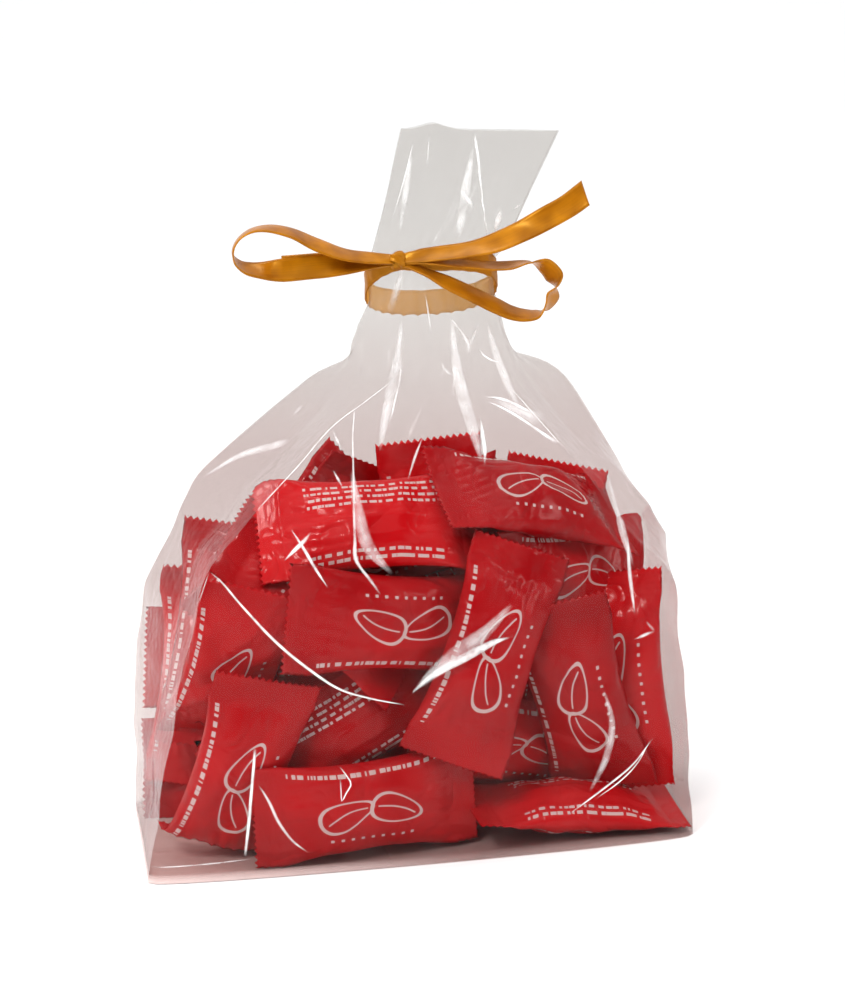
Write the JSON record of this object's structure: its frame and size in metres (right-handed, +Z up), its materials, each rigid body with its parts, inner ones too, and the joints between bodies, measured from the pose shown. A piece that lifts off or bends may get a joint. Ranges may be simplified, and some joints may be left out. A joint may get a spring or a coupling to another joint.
{
  "type": "gift bag of wrapped chocolate sweets",
  "caption": "Clear film gift bag filled with red wrapped sweets, gathered at the neck and tied with a satin ribbon bow.",
  "frame": {"origin": "middle of the flat base, on the surface the bag stands on", "axes": "+Z up to the open mouth, +Y towards the back, +X to the right as seen from the front"},
  "size_m": [0.142, 0.0686, 0.1845],
  "materials": {
    "bag": "clear polypropylene film over red printed flow-wrap film",
    "ribbon": "golden orange polyester satin"
  },
  "bodies": {
    "root": {"bag": "bag", "ribbon": "ribbon"}
  },
  "joints": []
}
